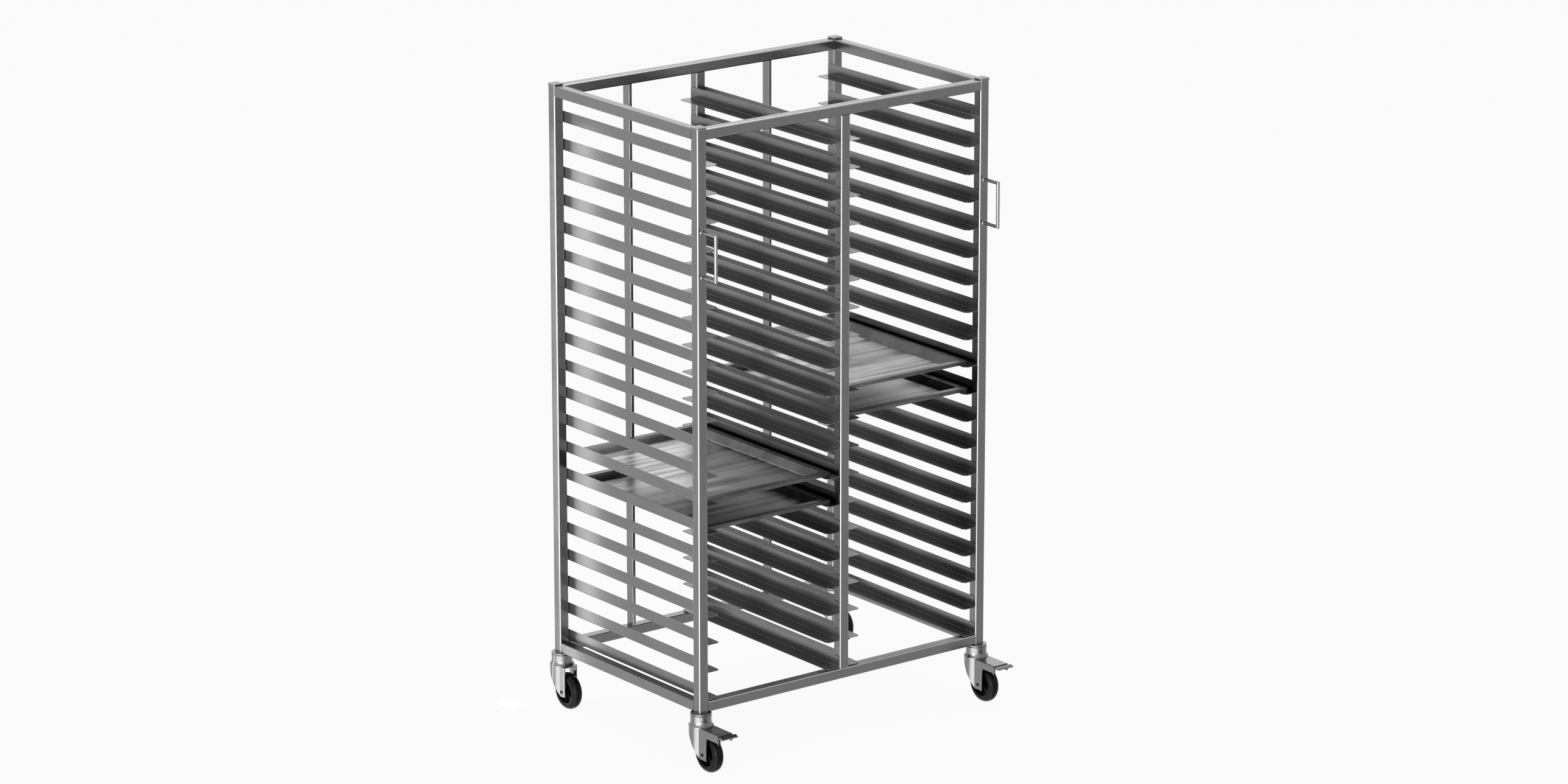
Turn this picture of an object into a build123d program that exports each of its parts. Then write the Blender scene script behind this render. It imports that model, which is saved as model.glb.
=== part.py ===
from build123d import *
import math
import os

# Double tray trolley: two bays of L-shaped runners side by side in a square-tube frame on four
# swivel casters. Millimetres. Z is up, the front is towards -Y, and the origin is on the floor at the
# centre of the trolley's bounding box. The frame's own pieces are placed in frame coordinates:
# X from the left posts' outer face, Y from the front posts' front face, Z from the posts' feet.

# Frame of square tube
frame_width = 1000.0
frame_depth = 685.0
post_length = 1632.0
tube_size = 30.0
tube_wall = 1.5
tube_corner = 4.0
plug_clearance = 0.2
cap_thickness = 5.5
cap_overhang = 0.6
cap_plug_depth = 12.0

# Flat tubes at the back that stop the trays
stop_width = 10.0
stop_wall = 1.2
stop_corner = 2.0

# Runners of folded sheet
runner_height = 33.0
runner_flange = 42.0
runner_sheet = 1.5
runner_bend = 3.0
runner_setback = 4.0
runner_pitch = 78.66
first_runner_gap = 2.4
last_runner_gap = 20.0
runner_top_corner = 5.0
runner_flange_corner = 10.0
smallest_corner = 0.3

# Pressed trays
tray_side_gap = 12.5
tray_back_gap = 16.0
tray_front_gap = 29.0
tray_sheet = 0.8
tray_lip = 10.0
tray_depth = 19.0
tray_wall_run = 20.0
tray_well_gap = 0.8
tray_front_rim = 20.0
tray_edge_bend = 2.0
tray_outer_corner = 4.0
tray_well_corner = 9.0
tray_floor_corner = 4.0
left_tray_levels = {"upper": 7, "lower": 6}
right_tray_levels = {"upper": 10, "lower": 9}

# Pull handles of round bar
handle_bar = 10.0
handle_standoff = 60.0
handle_spacing = 124.0
handle_height = 1290.0

# Casters, measured down from the posts' feet and outwards from the swivel axis
plate_radius = 29.7
plate_thickness = 5.0
plate_edge = 2.0
stem_plug_length = 40.0
swivel_gap = 0.5
neck_radius = 29.7
neck_height = 16.5
neck_chamfer = 1.2
head_height = 30.5
head_wall = 2.5
head_roof = 3.5
head_boss = 11.0
head_lip = 1.2
king_radius = 6.0
king_clearance = 0.05
king_nut_radius = 10.0
king_nut_height = 6.0
king_nut_gap = 0.4
skirt_radius = 34.3
skirt_lip = 0.5
fork_sheet = 3.0
fork_half_width = 25.0
fork_back_top = 25.0
fork_back_foot = -25.0
fork_below_axle = 13.7
tyre_headroom = 17.5
wheel_radius = 53.0
braked_trail = 38.0
braked_leg_front = 18.5
plain_trail = 31.0
plain_leg_front = 11.0
plain_leg_curl = 6.0
plain_leg_return = 3.0

# Wheels
tyre_width = 32.0
tyre_shoulder = 15.0
tyre_thickness = 15.0
tyre_flat = 0.1
rim_thickness = 4.0
rim_inset = 1.0
web_thickness = 8.0
hub_radius = 6.2
hub_gap = 0.5
axle_radius = 4.0
axle_clearance = 0.05
bolt_head_radius = 5.0
bolt_head_height = 2.4
axle_nut_radius = 7.0
axle_nut_height = 4.0

# Brakes on the front casters
arm_reach = 110.0
arm_height = 21.0
arm_bend = 2.5
brake_pin_radius = 3.0
brake_pin_setback = 26.0
brake_pin_drop = 11.0
brake_pin_clearance = 0.05
pedal_sheet = 2.5
pedal_boss = 5.5
pedal_side_gap = 2.0
pedal_half_width = 26.5
pedal_offset = 3.5
pedal_arm_gap = 2.0
pedal_reach = 18.5
pedal_crest_start = 2.8
pedal_crest_end = 8.3
pedal_nose_drop = 6.0
pedal_cheek_depth = 6.5
shoe_half_width = 2.5
shoe_offset = -4.0
shoe_gap = 7.0
shoe_start_angle = 52.0
shoe_swing_angle = 16.0
hook_width = 6.0
hook_depth = 5.0
hook_offset = 9.0

# Sizes worked out from the ones above
plug_size = tube_size - 2 * tube_wall - 2 * plug_clearance
inner_corner = max(tube_corner - tube_wall, smallest_corner)
bay_width = (frame_width - 3 * tube_size) / 2
rail_top = post_length - tube_size
runner_length = frame_depth - 2 * runner_setback
runner_first = tube_size + first_runner_gap
runner_room = rail_top - last_runner_gap - runner_height - runner_first
runner_levels = math.floor(runner_room / runner_pitch) + 1

tray_width = bay_width - 2 * tray_side_gap
tray_length = frame_depth - tube_size - tray_back_gap - tray_front_gap
wall_slope = math.hypot(tray_depth, tray_wall_run) / tray_depth
wall_across = tray_sheet * wall_slope
lip_lean = tray_wall_run * tray_lip / tray_depth
tray_side_rim = runner_flange - tray_side_gap + tray_well_gap + wall_across - lip_lean

crown_drop = plate_thickness + swivel_gap + head_height
crown_under = crown_drop + fork_sheet
axle_drop = crown_under + tyre_headroom + wheel_radius
caster_height = axle_drop + wheel_radius
fork_foot = axle_drop + fork_below_axle
fork_inside = fork_half_width - fork_sheet
through_fork = fork_half_width + fork_sheet
brake_pin_y = brake_pin_setback - arm_reach
brake_pin_z = -crown_drop - brake_pin_drop
pedal_front = arm_reach + pedal_reach

# The caster axes stand under the posts, so these set how far the trolley reaches
caster_inset = tube_size / 2
front_reach = pedal_front - caster_inset
back_reach = skirt_radius + skirt_lip - caster_inset
frame_front = -(frame_depth + back_reach - front_reach) / 2
frame_place = Pos(-frame_width / 2, frame_front, caster_height)


def slab(radius, thickness, top):
    """Round slab about the Z axis with its top face at the given height."""
    return Pos(0, 0, top - thickness / 2) * Cylinder(radius, thickness)


def crossways(radius, half_length, y, z):
    """Round bar along X, centred on X = 0, with its axis at the given Y and Z."""
    return Pos(0, y, z) * Rot(0, 90, 0) * Cylinder(radius, 2 * half_length)


def side_face(points):
    """Flat face in the YZ plane through the given (Y, Z) corners."""
    corners = [(0, y, z) for y, z in points]
    return make_face(Polyline(*corners, close=True))


def across(face, half_width):
    """Extrude a YZ face the same distance both ways along X."""
    return extrude(face, amount=half_width, dir=(1, 0, 0), both=True)


# Frame pieces

def tube(width, depth, length, wall, corner):
    """Upright rectangular tube centred on the Z axis, from Z = 0 up."""
    bore_corner = max(corner - wall, smallest_corner)
    outside = RectangleRounded(width, depth, corner)
    bore = RectangleRounded(width - 2 * wall, depth - 2 * wall, bore_corner)
    return extrude(outside - bore, amount=length)


def frame_tube(length):
    return tube(tube_size, tube_size, length, tube_wall, tube_corner)


def post_cap():
    """Flat cap with a plug that fits inside the post, its seat at Z = 0."""
    side = tube_size + 2 * cap_overhang
    plate = Pos(0, 0, cap_thickness / 2) * Box(side, side, cap_thickness)
    plug = extrude(RectangleRounded(plug_size, plug_size, inner_corner), amount=-cap_plug_depth)
    return plate + plug


def frame_nodes():
    """Posts, caps, rails and tray stops."""
    half = tube_size / 2
    columns = {"left": half, "centre": frame_width / 2, "right": frame_width - half}
    rows = {"front": half, "back": frame_depth - half}
    nodes = {}
    for row, y in rows.items():
        for column, x in columns.items():
            name = f"{row}_{column}"
            if column == "centre":
                post = Pos(x, y, tube_size) * frame_tube(rail_top - tube_size)
            else:
                post = Pos(x, y, 0) * frame_tube(post_length)
                nodes[f"cap_{name}"] = Pos(x, y, post_length) * post_cap()
            nodes[f"post_{name}"] = post
    across_length = frame_width - 2 * tube_size
    deep_length = frame_depth - 2 * tube_size
    for level, z in {"bottom": half, "top": post_length - half}.items():
        for row, y in rows.items():
            nodes[f"rail_{level}_{row}"] = Pos(tube_size, y, z) * Rot(0, 90, 0) * frame_tube(across_length)
        for column in ("left", "right"):
            rail = Pos(columns[column], tube_size, z) * Rot(-90, 0, 0) * frame_tube(deep_length)
            nodes[f"rail_{level}_{column}"] = rail
    stop = tube(stop_width, tube_size, rail_top - tube_size, stop_wall, stop_corner)
    for column, x in bay_centres().items():
        nodes[f"back_stop_{column}"] = Pos(x, rows["back"], tube_size) * stop
    return nodes


def bay_centres():
    left = tube_size + bay_width / 2
    return {"left": left, "right": frame_width - left}


# Runners

def runner():
    """One runner: its upright flange starts at X = 0 and its ledge reaches towards +X."""
    upright = Rectangle(runner_sheet, runner_height, align=(Align.MIN, Align.MIN))
    ledge = Rectangle(runner_flange, runner_sheet, align=(Align.MIN, Align.MIN))
    section = upright + ledge
    section = fillet(section.vertices().sort_by_distance((0, 0))[0], runner_bend)
    inner_fold = section.vertices().sort_by_distance((runner_sheet, runner_sheet))[0]
    section = fillet(inner_fold, max(runner_bend - runner_sheet, smallest_corner))
    body = extrude(Plane.XZ * section, amount=runner_length, dir=(0, 1, 0))
    body = fillet(body.edges().filter_by(Axis.X).sort_by(Axis.Z)[-2:], runner_top_corner)
    return fillet(body.edges().filter_by(Axis.Z).sort_by(Axis.X)[-2:], runner_flange_corner)


def runner_height_at(level):
    """Underside of the runner at a level, counted from 0 at the bottom."""
    return runner_first + level * runner_pitch


def runner_nodes():
    """Four upright columns of runners, one on each side of each bay."""
    rightward = runner()
    leftward = mirror(rightward, about=Plane.YZ)
    columns = {
        "runners_left_outer": (tube_size, rightward),
        "runners_left_inner": (tube_size + bay_width, leftward),
        "runners_right_inner": (frame_width - tube_size - bay_width, rightward),
        "runners_right_outer": (frame_width - tube_size, leftward),
    }
    nodes = {}
    for name, (x, piece) in columns.items():
        copies = [
            Pos(x, runner_setback, runner_height_at(level)) * piece
            for level in range(runner_levels)
        ]
        nodes[name] = Compound(children=copies)
    return nodes


# Trays

def tapered(width, length, corner, grow, top, floor, foot_corner):
    """Solid that narrows downwards like the well, grown outwards by a distance."""
    narrowing = 2 * tray_wall_run * (top - floor) / tray_depth
    high = RectangleRounded(width + 2 * grow, length + 2 * grow, corner + grow)
    low = RectangleRounded(
        width + 2 * grow - narrowing, length + 2 * grow - narrowing, foot_corner + grow
    )
    return loft([Pos(0, 0, top) * high, Pos(0, 0, floor) * low], ruled=True)


def tray():
    """Pressed tray centred on the Z axis, its rim's top face at Z = 0."""
    well_width = tray_width - 2 * tray_side_rim
    well_length = tray_length - 2 * tray_front_rim
    rim = extrude(RectangleRounded(tray_width, tray_length, tray_outer_corner), amount=-tray_lip)
    rim = fillet(rim.faces().sort_by(Axis.Z)[-1].edges(), tray_edge_bend)
    under = extrude(
        Pos(0, 0, -tray_lip) * RectangleRounded(
            tray_width - 2 * tray_sheet,
            tray_length - 2 * tray_sheet,
            max(tray_outer_corner - tray_sheet, smallest_corner),
        ),
        amount=tray_lip - tray_sheet,
    )
    bend_inside = max(tray_edge_bend - tray_sheet, smallest_corner)
    under = fillet(under.faces().sort_by(Axis.Z)[-1].edges(), bend_inside)
    outer = tapered(
        well_width, well_length, tray_well_corner, wall_across, 0, -tray_depth - tray_sheet,
        tray_floor_corner,
    )
    inner = tapered(
        well_width, well_length, tray_well_corner, 0, 0, -tray_depth, tray_floor_corner
    )
    return (rim - under) + outer - inner


def tray_place(column, level):
    """Place of a tray whose lip stands on the runners of a level."""
    x = bay_centres()[column]
    y = tray_front_gap + tray_length / 2
    return Pos(x, y, runner_height_at(level) + runner_sheet + tray_lip)


def tray_nodes():
    pressed = tray()
    nodes = {}
    for column, levels in {"left": left_tray_levels, "right": right_tray_levels}.items():
        for name, level in levels.items():
            nodes[f"tray_{column}_{name}"] = tray_place(column, level) * pressed
    return nodes


# Handles

def handle():
    """U-shaped bar with mitred corners: its legs start on the plane Y = 0."""
    reach = -handle_standoff
    half = handle_spacing / 2
    path = Polyline((0, 0, half), (0, reach, half), (0, reach, -half), (0, 0, -half))
    section = Plane(origin=(0, 0, half), z_dir=(0, -1, 0)) * Circle(handle_bar / 2)
    return sweep(section, path=path, transition=Transition.RIGHT)


def handle_nodes():
    half = tube_size / 2
    return {
        "handle_left": Pos(half, 0, handle_height) * handle(),
        "handle_right": Pos(frame_width - half, 0, handle_height) * handle(),
    }


# Casters. Each function works about its own swivel axis, from the post's foot at Z = 0 down.

def caster_stem():
    """Fixed part: plug inside the post, round plate, kingpin and its nut."""
    plate = slab(plate_radius, plate_thickness, 0)
    plate = fillet(plate.edges().filter_by(GeomType.CIRCLE), plate_edge)
    plug = extrude(RectangleRounded(plug_size, plug_size, inner_corner), amount=stem_plug_length)
    nut_top = -crown_under - king_nut_gap
    king_length = -nut_top - plate_thickness
    kingpin = slab(king_radius, king_length, -plate_thickness)
    nut = extrude(Pos(0, 0, nut_top) * RegularPolygon(king_nut_radius, 6), amount=-king_nut_height)
    return plate + plug + kingpin + nut


def caster_head():
    """Turned head that swivels: a straight neck that flares to the skirt's radius."""
    top = -plate_thickness - swivel_gap
    neck_foot = top - neck_height
    low = -crown_drop
    bore = king_radius + king_clearance
    inside = neck_radius - head_wall
    flare = TangentArc(
        (neck_radius, 0, neck_foot), (skirt_radius, 0, low + head_lip), tangent=(0, 0, -1)
    )
    outline = [
        Line((bore, 0, top), (neck_radius - neck_chamfer, 0, top)),
        Line((neck_radius - neck_chamfer, 0, top), (neck_radius, 0, top - neck_chamfer)),
        Line((neck_radius, 0, top - neck_chamfer), (neck_radius, 0, neck_foot)),
        flare,
        Line((skirt_radius, 0, low + head_lip), (skirt_radius + skirt_lip, 0, low + head_lip)),
        Line((skirt_radius + skirt_lip, 0, low + head_lip), (skirt_radius + skirt_lip, 0, low)),
        Line((skirt_radius + skirt_lip, 0, low), (skirt_radius - head_wall, 0, low)),
        Line((skirt_radius - head_wall, 0, low), (inside, 0, neck_foot)),
        Line((inside, 0, neck_foot), (inside, 0, top - head_roof)),
        Line((inside, 0, top - head_roof), (head_boss, 0, top - head_roof)),
        Line((head_boss, 0, top - head_roof), (head_boss, 0, low)),
        Line((head_boss, 0, low), (bore, 0, low)),
        Line((bore, 0, low), (bore, 0, top)),
    ]
    return revolve(make_face(outline), axis=Axis.Z)


def leg_plan(front, curled):
    """Plan of the fork's walls: a round back and flat sides that reach a distance forwards."""
    outer_side = Pos(0, -front / 2) * Rectangle(2 * fork_half_width, front)
    if curled:
        outer_side = fillet(outer_side.vertices().sort_by(Axis.Y)[:2], plain_leg_curl)
        inner_front = front - fork_sheet
        inner_side = Pos(0, -inner_front / 2) * Rectangle(2 * fork_inside, inner_front)
        curl_inside = plain_leg_curl - fork_sheet
        inner_side = fillet(inner_side.vertices().sort_by(Axis.Y)[:2], curl_inside)
        mouth_width = 2 * (fork_inside - plain_leg_return)
        mouth = Pos(0, -front / 2 - fork_sheet) * Rectangle(mouth_width, front)
        inner_side = inner_side + mouth
    else:
        inner_front = front + fork_sheet
        inner_side = Pos(0, -inner_front / 2) * Rectangle(2 * fork_inside, inner_front)
    outside = Circle(skirt_radius) + outer_side
    inside = Circle(skirt_radius - fork_sheet) + inner_side
    return outside, outside - inside


def caster_fork(trail, leg_front, braked):
    """Crown plate and two cheeks; on a braked caster also the arm that carries the brake."""
    front = trail + leg_front
    outside, walls = leg_plan(front, curled=not braked)
    legs = extrude(Pos(0, 0, -fork_foot) * walls, amount=fork_foot - crown_under)
    crown = extrude(Pos(0, 0, -crown_under) * outside, amount=fork_sheet)
    behind = skirt_radius + fork_sheet
    back_cut = side_face([
        (fork_back_top, -crown_under),
        (fork_back_foot, -fork_foot),
        (fork_back_foot, -fork_foot - fork_sheet),
        (behind, -fork_foot - fork_sheet),
        (behind, -crown_under),
    ])
    fork = crown + legs - across(back_cut, behind)
    if braked:
        top_plate = Pos(0, -arm_reach / 2, -crown_drop - fork_sheet / 2) * Box(
            2 * fork_half_width, arm_reach, fork_sheet
        )
        flange_length = arm_reach - front
        flange_height = arm_height - fork_sheet
        flange_y = -front - flange_length / 2
        flange_z = -crown_under - flange_height / 2
        fork = fork + top_plate
        for side in (-1, 1):
            x = side * (fork_half_width - fork_sheet / 2)
            fork = fork + Pos(x, flange_y, flange_z) * Box(fork_sheet, flange_length, flange_height)
        top_edges = fork.edges().filter_by(Axis.Y).group_by(Axis.Z)[-1].sort_by(Axis.X)
        fork = fillet([top_edges[0], top_edges[-1]], arm_bend)
        fork = fork - crossways(brake_pin_radius, through_fork, brake_pin_y, brake_pin_z)
    fork = fork - slab(king_radius + king_clearance, fork_sheet, -crown_drop)
    return fork - crossways(axle_radius, through_fork, -trail, -axle_drop)


def axle_bolt(trail):
    """Axle through both cheeks, with a low round head on the left and a nut on the right."""
    shank = crossways(axle_radius, fork_half_width, 0, 0)
    head = Pos(-fork_half_width - bolt_head_height / 2, 0, 0) * Rot(0, 90, 0) * Cylinder(
        bolt_head_radius, bolt_head_height
    )
    nut = Pos(fork_half_width, 0, 0) * Rot(0, 90, 0) * extrude(
        RegularPolygon(axle_nut_radius, 6), amount=axle_nut_height
    )
    return Pos(0, -trail, -axle_drop) * (shank + head + nut)


def turned(face, trail):
    """Turn a face in the XZ plane round X, then move it to the axle."""
    return Pos(0, -trail, -axle_drop) * revolve(face, axis=Axis.X)


def wheel_hub(trail):
    """Hub with a web and a rim; its boss runs between the cheeks."""
    boss_half = fork_inside - hub_gap
    rim_half = tyre_width / 2 - rim_inset
    web_half = web_thickness / 2
    bore = axle_radius + axle_clearance
    rim_outer = wheel_radius - tyre_thickness
    rim_inner = rim_outer - rim_thickness
    half_outline = [
        (boss_half, bore), (boss_half, hub_radius), (web_half, hub_radius),
        (web_half, rim_inner), (rim_half, rim_inner), (rim_half, rim_outer),
    ]
    mirrored = [(-x, r) for x, r in reversed(half_outline)]
    corners = [(x, 0, r) for x, r in half_outline + mirrored]
    return turned(make_face(Polyline(*corners, close=True)), trail)


def tyre(trail):
    """Tyre whose tread is almost a half circle in section."""
    seat = wheel_radius - tyre_thickness
    section = Pos(0, (wheel_radius + seat) / 2) * Rectangle(tyre_width, tyre_thickness)
    shoulders = section.vertices().sort_by(Axis.Y)[-2:]
    largest = min(tyre_thickness, tyre_width / 2) - tyre_flat
    section = fillet(shoulders, min(tyre_shoulder, largest))
    return turned(Plane.XZ * section, trail)


def brake_pin():
    return crossways(brake_pin_radius, fork_half_width, brake_pin_y, brake_pin_z)


def brake_pedal():
    """Lever on the brake pin: a foot plate in front of the arm and a shoe over the tread."""
    lever_half = fork_inside - pedal_side_gap
    boss = crossways(pedal_boss, lever_half, brake_pin_y, brake_pin_z)
    lever_z = brake_pin_z + pedal_boss - pedal_sheet
    crest_z = -crown_drop - pedal_arm_gap
    leaf_back = -arm_reach - pedal_arm_gap
    crest_back = leaf_back - pedal_crest_start
    crest_front = leaf_back - pedal_crest_end
    nose = -pedal_front
    nose_z = crest_z - pedal_nose_drop / 2
    nose_foot = crest_z - pedal_nose_drop
    half_sheet = pedal_sheet / 2
    lever = across(side_face([
        (brake_pin_y, lever_z),
        (brake_pin_y, lever_z + pedal_sheet),
        (leaf_back + pedal_sheet, lever_z + pedal_sheet),
        (crest_back, crest_z),
        (crest_front, crest_z),
        (crest_front, crest_z - pedal_sheet),
        (crest_back - half_sheet, crest_z - pedal_sheet),
        (leaf_back, lever_z),
    ]), lever_half)
    leaf = across(side_face([
        (leaf_back, crest_z - pedal_sheet),
        (leaf_back, crest_z - half_sheet),
        (crest_back, crest_z),
        (crest_front, crest_z),
        (nose + half_sheet, nose_z),
        (nose, nose_z - half_sheet),
        (nose, nose_foot),
        (nose + pedal_sheet, nose_foot),
        (nose + pedal_sheet, nose_z - half_sheet),
        (crest_front, crest_z - pedal_sheet),
    ]), pedal_half_width)
    cheek = across(side_face([
        (leaf_back, crest_z - half_sheet),
        (crest_front, crest_z - half_sheet),
        (nose + half_sheet, nose_z - half_sheet),
        (nose + half_sheet, crest_z - pedal_cheek_depth),
        (leaf_back, crest_z - pedal_cheek_depth),
    ]), half_sheet)
    cheek_x = pedal_half_width - half_sheet
    hook = across(side_face([
        (nose, nose_foot + half_sheet),
        (nose + pedal_sheet, nose_foot + half_sheet),
        (nose + 2 * pedal_sheet, nose_foot - hook_depth),
        (nose + pedal_sheet, nose_foot - hook_depth),
    ]), hook_width / 2)
    foot_plate = leaf + Pos(-cheek_x, 0, 0) * cheek + Pos(cheek_x, 0, 0) * cheek
    foot_plate = foot_plate + Pos(hook_offset - pedal_offset, 0, 0) * hook
    pedal = boss + lever + Pos(shoe_offset, 0, 0) * brake_shoe()
    pedal = pedal + Pos(pedal_offset, 0, 0) * foot_plate
    bore = crossways(brake_pin_radius + brake_pin_clearance, through_fork, brake_pin_y, brake_pin_z)
    return pedal - bore


def brake_shoe():
    """Narrow strip bent round the tread at the shoe gap, on a neck from the pin's boss."""
    wheel_y = -braked_trail
    wheel_z = -axle_drop
    inner = wheel_radius + shoe_gap
    outer = inner + pedal_sheet
    to_pin = math.hypot(brake_pin_y - wheel_y, brake_pin_z - wheel_z)
    start = math.radians(shoe_start_angle)
    end = start - math.radians(shoe_swing_angle)
    middle = (start + end) / 2
    neck = start + pedal_sheet / inner

    def over_tread(radius, angle):
        return (0, wheel_y - radius * math.cos(angle), wheel_z + radius * math.sin(angle))

    outline = [
        ThreePointArc(over_tread(inner, neck), over_tread(inner, middle), over_tread(inner, end)),
        Line(over_tread(inner, end), over_tread(outer, end)),
        ThreePointArc(over_tread(outer, end), over_tread(outer, middle), over_tread(outer, start)),
        Line(over_tread(outer, start), over_tread(to_pin, start)),
        Line(over_tread(to_pin, start), over_tread(to_pin, neck)),
        Line(over_tread(to_pin, neck), over_tread(inner, neck)),
    ]
    return across(make_face(outline), shoe_half_width)


def caster_nodes(name, x, y, braked):
    """All pieces of one caster, under the post at X and Y."""
    trail = braked_trail if braked else plain_trail
    leg_front = braked_leg_front if braked else plain_leg_front
    pieces = {
        "caster_stem": caster_stem(),
        "caster_head": caster_head(),
        "caster_fork": caster_fork(trail, leg_front, braked),
        "axle": axle_bolt(trail),
        "wheel_hub": wheel_hub(trail),
        "tyre": tyre(trail),
    }
    if braked:
        pieces["brake_pedal"] = brake_pedal()
        pieces["brake_pin"] = brake_pin()
    return {f"{piece}_{name}": Pos(x, y, 0) * shape for piece, shape in pieces.items()}


def all_nodes():
    nodes = {}
    nodes.update(frame_nodes())
    nodes.update(runner_nodes())
    nodes.update(tray_nodes())
    nodes.update(handle_nodes())
    for row, y in {"front": caster_inset, "back": frame_depth - caster_inset}.items():
        for column, x in {"left": caster_inset, "right": frame_width - caster_inset}.items():
            nodes.update(caster_nodes(f"{row}_{column}", x, y, braked=row == "front"))
    return nodes


os.makedirs("parts", exist_ok=True)
for node, shape in all_nodes().items():
    export_step(frame_place * shape, f"parts/{node}.step")
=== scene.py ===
# %% [markdown]
# # Double tray trolley
# The real trolley is a welded frame of square stainless tube with folded runners, pressed trays,
# two pull handles and four swivel casters. Its shape comes from the CAD model, which arrives here as
# one mesh per piece. This scene gives every piece its finish, adds the small work that a workshop
# leaves behind, such as welds and bolts, and sets up the floor, the light and the camera.

import math

import bmesh
import bpy
from mathutils import Matrix, Vector


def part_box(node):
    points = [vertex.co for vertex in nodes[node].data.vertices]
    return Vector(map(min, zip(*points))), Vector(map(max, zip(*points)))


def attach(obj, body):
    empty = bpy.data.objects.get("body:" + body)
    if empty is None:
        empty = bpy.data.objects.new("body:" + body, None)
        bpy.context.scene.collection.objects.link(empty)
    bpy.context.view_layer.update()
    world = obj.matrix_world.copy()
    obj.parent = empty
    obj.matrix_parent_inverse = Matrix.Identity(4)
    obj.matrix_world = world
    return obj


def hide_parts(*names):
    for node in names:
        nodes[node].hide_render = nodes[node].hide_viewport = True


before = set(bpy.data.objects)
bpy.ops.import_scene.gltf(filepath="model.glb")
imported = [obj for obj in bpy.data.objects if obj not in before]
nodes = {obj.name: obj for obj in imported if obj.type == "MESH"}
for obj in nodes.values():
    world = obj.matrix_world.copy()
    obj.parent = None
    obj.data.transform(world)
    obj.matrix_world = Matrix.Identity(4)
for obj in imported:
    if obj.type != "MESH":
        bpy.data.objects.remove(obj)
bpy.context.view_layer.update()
scene = bpy.context.scene

# %% [markdown]
# ## Camera
# The picture was taken from far away with a long lens, a little above the trolley and from its front
# left corner. A long lens keeps upright edges almost parallel. The lens is written as the focal
# length on a 36 mm sensor, and the two angles are the downward tilt and the turn to the left.

# %% Camera
camera_data = bpy.data.cameras.new("camera")
camera_data.sensor_width = 36.0
camera_data.lens = 130.43
camera_data.clip_end = 100.0
camera = bpy.data.objects.new("camera", camera_data)
camera.location = (-9.2170, -12.04175, 5.2786)
camera.rotation_euler = (math.radians(73.967), 0.0, math.radians(-37.478))
scene.collection.objects.link(camera)
scene.camera = camera
print("camera distance", round(camera.location.length, 2), "m")

# %% [markdown]
# ## Floor and light
# Bright metal shows little colour of its own: it shows the room. So the room is made first. The
# camera sees a white world and a white floor that still takes the trolley's shadow. Gloss sees the
# world alone, which is painted by direction: an even light grey with one broad soft panel of light,
# low on the left, and three weaker ones. The rounded corners of the tubes and the round casters
# mirror the broad panel, and get their bright upright lines from it and from a painted highlight in
# their colour. Two soft lamps light what is rough: one from the side, one from above. A third,
# narrow and dim, stands upright close to the back left post, where the runners' faces mirror it as a
# soft glow.

# %% Helpers for node trees
def place(tree, kind, inputs=None, **settings):
    """Adds a node, sets its properties and its unlinked inputs, and returns it."""
    node = tree.nodes.new(kind)
    for key, value in settings.items():
        setattr(node, key, value)
    for key, value in (inputs or {}).items():
        node.inputs[key].default_value = value
    return node


def worked(tree, operation, *values):
    """Result of a math operation on values, each of them a socket or a number."""
    node = place(tree, "ShaderNodeMath", operation=operation)
    for socket, value in zip(node.inputs, values):
        if isinstance(value, bpy.types.NodeSocket):
            tree.links.new(value, socket)
        else:
            socket.default_value = value
    return node.outputs[0]


def part_of(tree, vector, axis):
    """One of the three parts, X, Y or Z, of a vector."""
    split = place(tree, "ShaderNodeSeparateXYZ")
    tree.links.new(vector, split.inputs[0])
    return split.outputs[axis]


def spread(tree, value, low, high, to_low=0.0, to_high=1.0):
    """Smoothly remaps a value from one range to another."""
    node = place(
        tree, "ShaderNodeMapRange",
        {"From Min": low, "From Max": high, "To Min": to_low, "To Max": to_high},
        interpolation_type="SMOOTHSTEP",
    )
    tree.links.new(value, node.inputs["Value"])
    return node.outputs["Result"]


def seen_directly(tree):
    """1 for rays from the camera and for mirrored or refracted rays, otherwise 0."""
    rays = place(tree, "ShaderNodeLightPath").outputs
    first = worked(tree, "MAXIMUM", rays["Is Camera Ray"], rays["Is Glossy Ray"])
    return worked(tree, "MAXIMUM", first, rays["Is Transmission Ray"])


# %% World
world = bpy.data.worlds.new("studio")
scene.world = world
world.use_nodes = True
tree = world.node_tree
tree.nodes.clear()
toward = place(tree, "ShaderNodeTexCoord").outputs["Generated"]


def panel(azimuth, inner, outer, strength, height=None):
    """Soft panel of light towards a compass direction, at its full strength up to the inner angle
    from it and gone at the outer one, both in degrees. height gives the two heights of the
    direction, from -1 straight down to 1 straight up, between which it fades in."""
    turn = math.radians(azimuth)
    flat = place(tree, "ShaderNodeVectorMath", {1: (1.0, 1.0, 0.0)}, operation="MULTIPLY")
    level = place(tree, "ShaderNodeVectorMath", operation="NORMALIZE")
    near = place(
        tree, "ShaderNodeVectorMath", {1: (math.cos(turn), math.sin(turn), 0.0)},
        operation="DOT_PRODUCT",
    )
    tree.links.new(toward, flat.inputs[0])
    tree.links.new(flat.outputs[0], level.inputs[0])
    tree.links.new(level.outputs[0], near.inputs[0])
    edge, full = math.cos(math.radians(outer)), math.cos(math.radians(inner))
    rise = spread(tree, near.outputs["Value"], edge, full, 0.0, strength)
    if height is None:
        return rise
    return worked(tree, "MULTIPLY", rise, spread(tree, part_of(tree, toward, "Z"), *height))


def total(level, values):
    """Sum of an even level and several values."""
    result = level
    for value in values:
        result = worked(tree, "ADD", value, result)
    return result


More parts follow.
